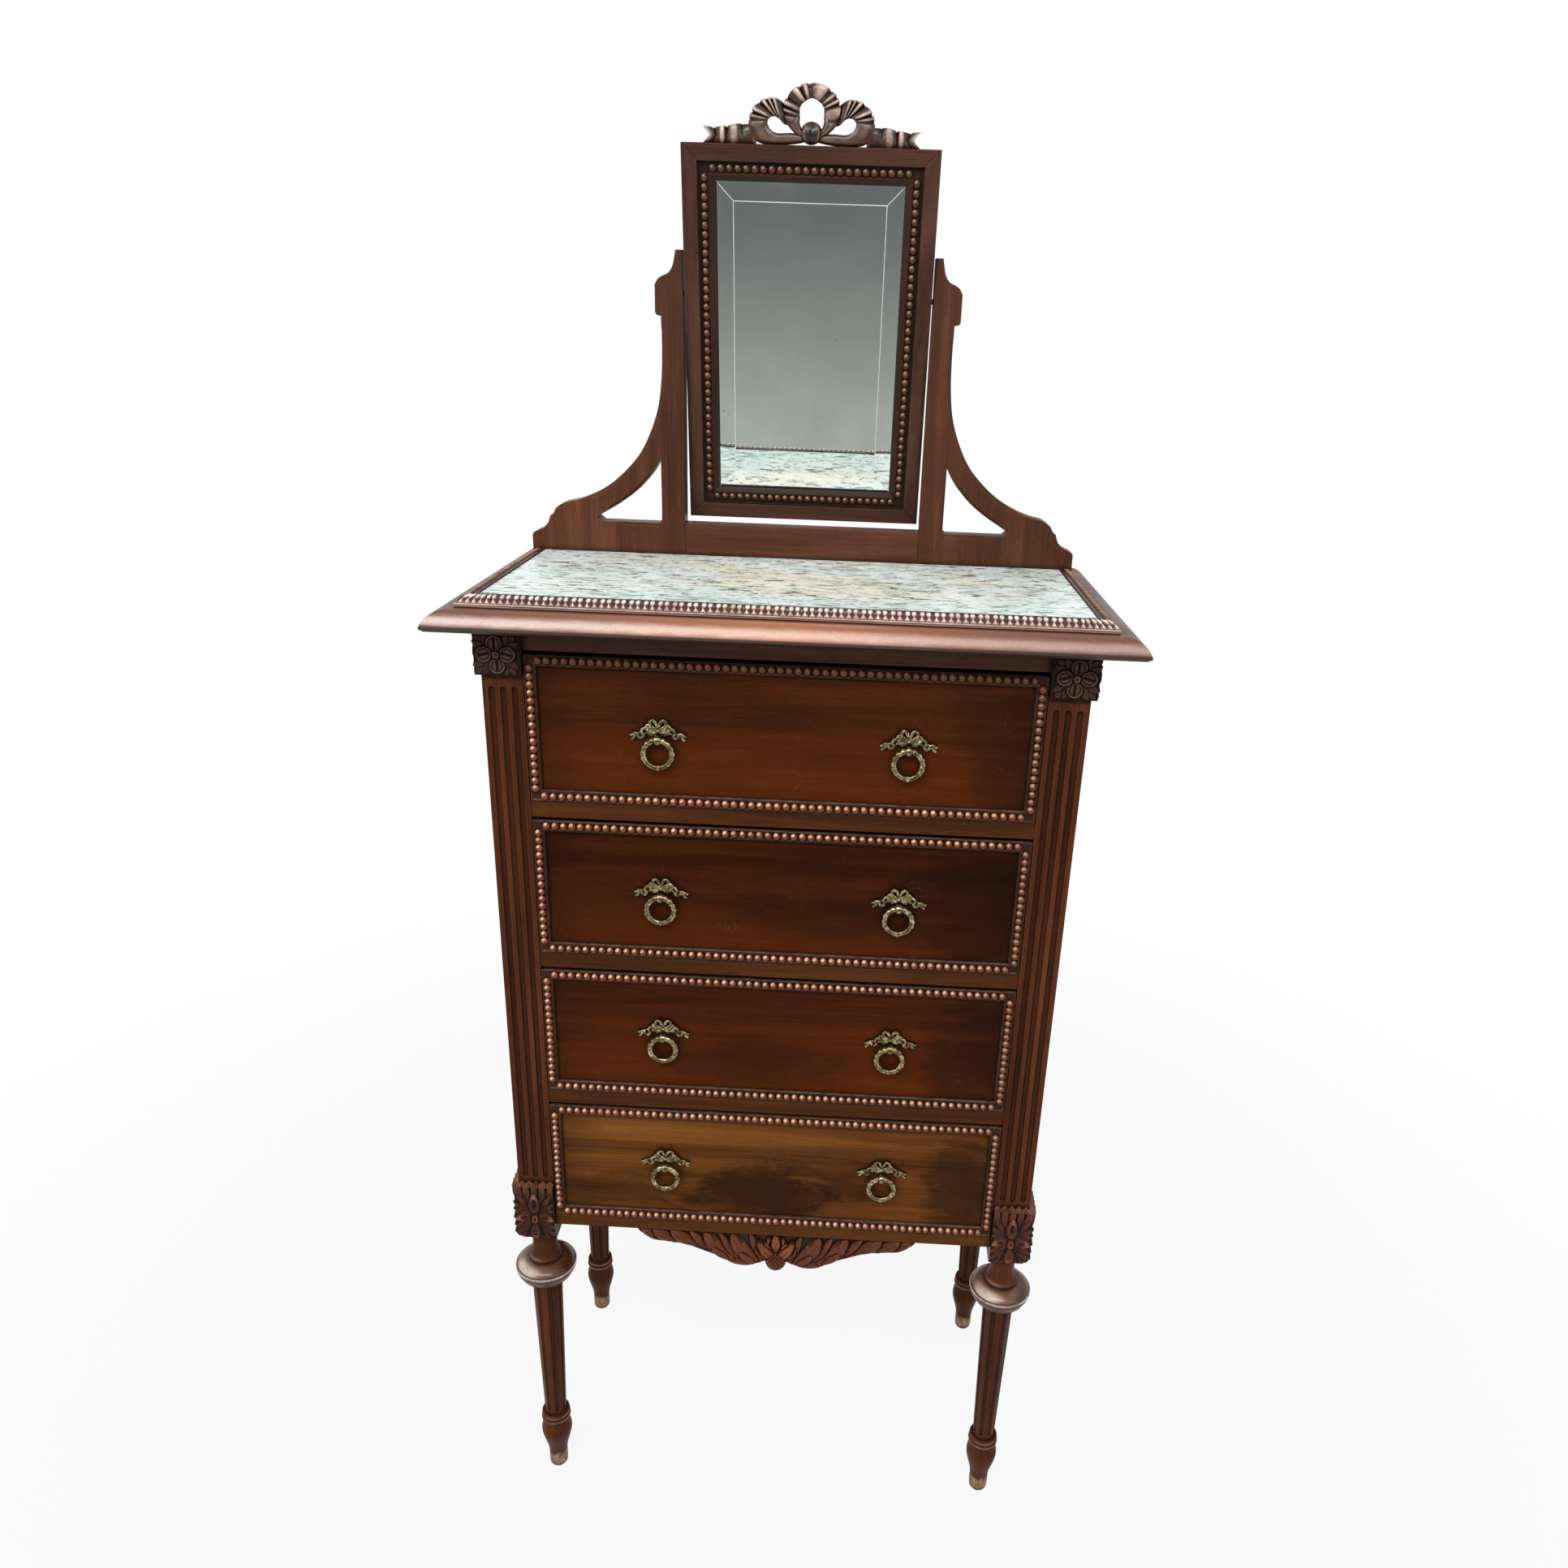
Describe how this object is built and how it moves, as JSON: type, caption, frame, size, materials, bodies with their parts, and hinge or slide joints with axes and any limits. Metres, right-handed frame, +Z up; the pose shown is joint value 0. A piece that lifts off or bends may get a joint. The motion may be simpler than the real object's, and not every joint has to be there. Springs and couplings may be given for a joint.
{
  "type": "dressing table",
  "caption": "Tall wooden dressing table: beaded drawers with brass ring pulls, inset marble top, tilting bevelled mirror on a fretted stand, turned fluted legs.",
  "frame": {"origin": "on the floor under the middle of the top", "axes": "+Z up, the front faces -Y, +X to the right seen from the front"},
  "size_m": [0.732, 0.4, 1.7563],
  "materials": {
    "wood_post": "worn satin polish",
    "wood_rear": "worn satin polish",
    "wood_side": "worn satin polish",
    "wood_rail": "worn satin polish",
    "wood_carving": "worn satin polish",
    "wood_top": "worn satin polish",
    "wood_top_carving": "worn satin polish",
    "wood_stand": "worn satin polish",
    "wood_mirror_frame": "worn satin polish",
    "wood_bead": "worn satin polish",
    "wood_inner": "worn satin polish",
    "wood_drawer": "worn satin polish",
    "marble": "polished veined stone",
    "brass": "aged cast brass",
    "mirror_glass": "bevelled silvered glass"
  },
  "bodies": {
    "carcass": {"apron_carving": "wood_carving", "back_panel": "wood_inner", "bottom_rail": "wood_rail", "drawer_rail_lower": "wood_rail", "drawer_rail_middle": "wood_rail", "drawer_rail_upper": "wood_rail", "drawer_runners": "wood_inner", "front_post_left": "wood_post", "front_post_right": "wood_post", "marble_top": "marble", "mirror_base_rail": "wood_stand", "mirror_bracket_left": "wood_stand", "mirror_bracket_right": "wood_stand", "mirror_pivot_pins": "brass", "rear_post_left": "wood_rear", "rear_post_right": "wood_rear", "side_panel_left": "wood_side", "side_panel_right": "wood_side", "top_board": "wood_top", "top_moulding": "wood_top_carving", "top_rail": "wood_rail"},
    "mirror": {"mirror_frame": "wood_mirror_frame", "mirror_beading": "wood_bead", "mirror_glass": "mirror_glass", "mirror_back_board": "wood_inner", "mirror_crest": "wood_carving"},
    "drawer_1": {"drawer_1_front": "wood_drawer", "drawer_1_beading": "wood_bead", "drawer_1_sides": "wood_inner", "drawer_1_back": "wood_inner", "drawer_1_bottom": "wood_inner", "drawer_1_pull_plates": "brass"},
    "ring_1_left": {"drawer_1_ring_left": "brass"},
    "ring_1_right": {"drawer_1_ring_right": "brass"},
    "drawer_2": {"drawer_2_front": "wood_drawer", "drawer_2_beading": "wood_bead", "drawer_2_sides": "wood_inner", "drawer_2_back": "wood_inner", "drawer_2_bottom": "wood_inner", "drawer_2_pull_plates": "brass"},
    "ring_2_left": {"drawer_2_ring_left": "brass"},
    "ring_2_right": {"drawer_2_ring_right": "brass"},
    "drawer_3": {"drawer_3_front": "wood_drawer", "drawer_3_beading": "wood_bead", "drawer_3_sides": "wood_inner", "drawer_3_back": "wood_inner", "drawer_3_bottom": "wood_inner", "drawer_3_pull_plates": "brass"},
    "ring_3_left": {"drawer_3_ring_left": "brass"},
    "ring_3_right": {"drawer_3_ring_right": "brass"},
    "drawer_4": {"drawer_4_front": "wood_drawer", "drawer_4_beading": "wood_bead", "drawer_4_sides": "wood_inner", "drawer_4_back": "wood_inner", "drawer_4_bottom": "wood_inner", "drawer_4_pull_plates": "brass"},
    "ring_4_left": {"drawer_4_ring_left": "brass"},
    "ring_4_right": {"drawer_4_ring_right": "brass"}
  },
  "joints": [
    {"name": "mirror_tilt", "type": "hinge", "parent": "carcass", "child": "mirror", "pos_m": [0, 0.133, 1.5465], "axis": [1, 0, 0], "range_deg": [-40, 30]},
    {"name": "drawer_1_slide", "type": "slide", "parent": "carcass", "child": "drawer_1", "axis": [0, -1, 0], "range_m": [0, 0.24]},
    {"name": "ring_1_left_swing", "type": "hinge", "parent": "drawer_1", "child": "ring_1_left", "pos_m": [-0.134, -0.158, 1.1], "axis": [-1, 0, 0], "range_deg": [0, 95]},
    {"name": "ring_1_right_swing", "type": "hinge", "parent": "drawer_1", "child": "ring_1_right", "pos_m": [0.134, -0.158, 1.1], "axis": [-1, 0, 0], "range_deg": [0, 95]},
    {"name": "drawer_2_slide", "type": "slide", "parent": "carcass", "child": "drawer_2", "axis": [0, -1, 0], "range_m": [0, 0.24]},
    {"name": "ring_2_left_swing", "type": "hinge", "parent": "drawer_2", "child": "ring_2_left", "pos_m": [-0.134, -0.158, 0.9135], "axis": [-1, 0, 0], "range_deg": [0, 95]},
    {"name": "ring_2_right_swing", "type": "hinge", "parent": "drawer_2", "child": "ring_2_right", "pos_m": [0.134, -0.158, 0.9135], "axis": [-1, 0, 0], "range_deg": [0, 95]},
    {"name": "drawer_3_slide", "type": "slide", "parent": "carcass", "child": "drawer_3", "axis": [0, -1, 0], "range_m": [0, 0.24]},
    {"name": "ring_3_left_swing", "type": "hinge", "parent": "drawer_3", "child": "ring_3_left", "pos_m": [-0.134, -0.158, 0.7295], "axis": [-1, 0, 0], "range_deg": [0, 95]},
    {"name": "ring_3_right_swing", "type": "hinge", "parent": "drawer_3", "child": "ring_3_right", "pos_m": [0.134, -0.158, 0.7295], "axis": [-1, 0, 0], "range_deg": [0, 95]},
    {"name": "drawer_4_slide", "type": "slide", "parent": "carcass", "child": "drawer_4", "axis": [0, -1, 0], "range_m": [0, 0.24]},
    {"name": "ring_4_left_swing", "type": "hinge", "parent": "drawer_4", "child": "ring_4_left", "pos_m": [-0.134, -0.158, 0.5425], "axis": [-1, 0, 0], "range_deg": [0, 95]},
    {"name": "ring_4_right_swing", "type": "hinge", "parent": "drawer_4", "child": "ring_4_right", "pos_m": [0.134, -0.158, 0.5425], "axis": [-1, 0, 0], "range_deg": [0, 95]}
  ]
}
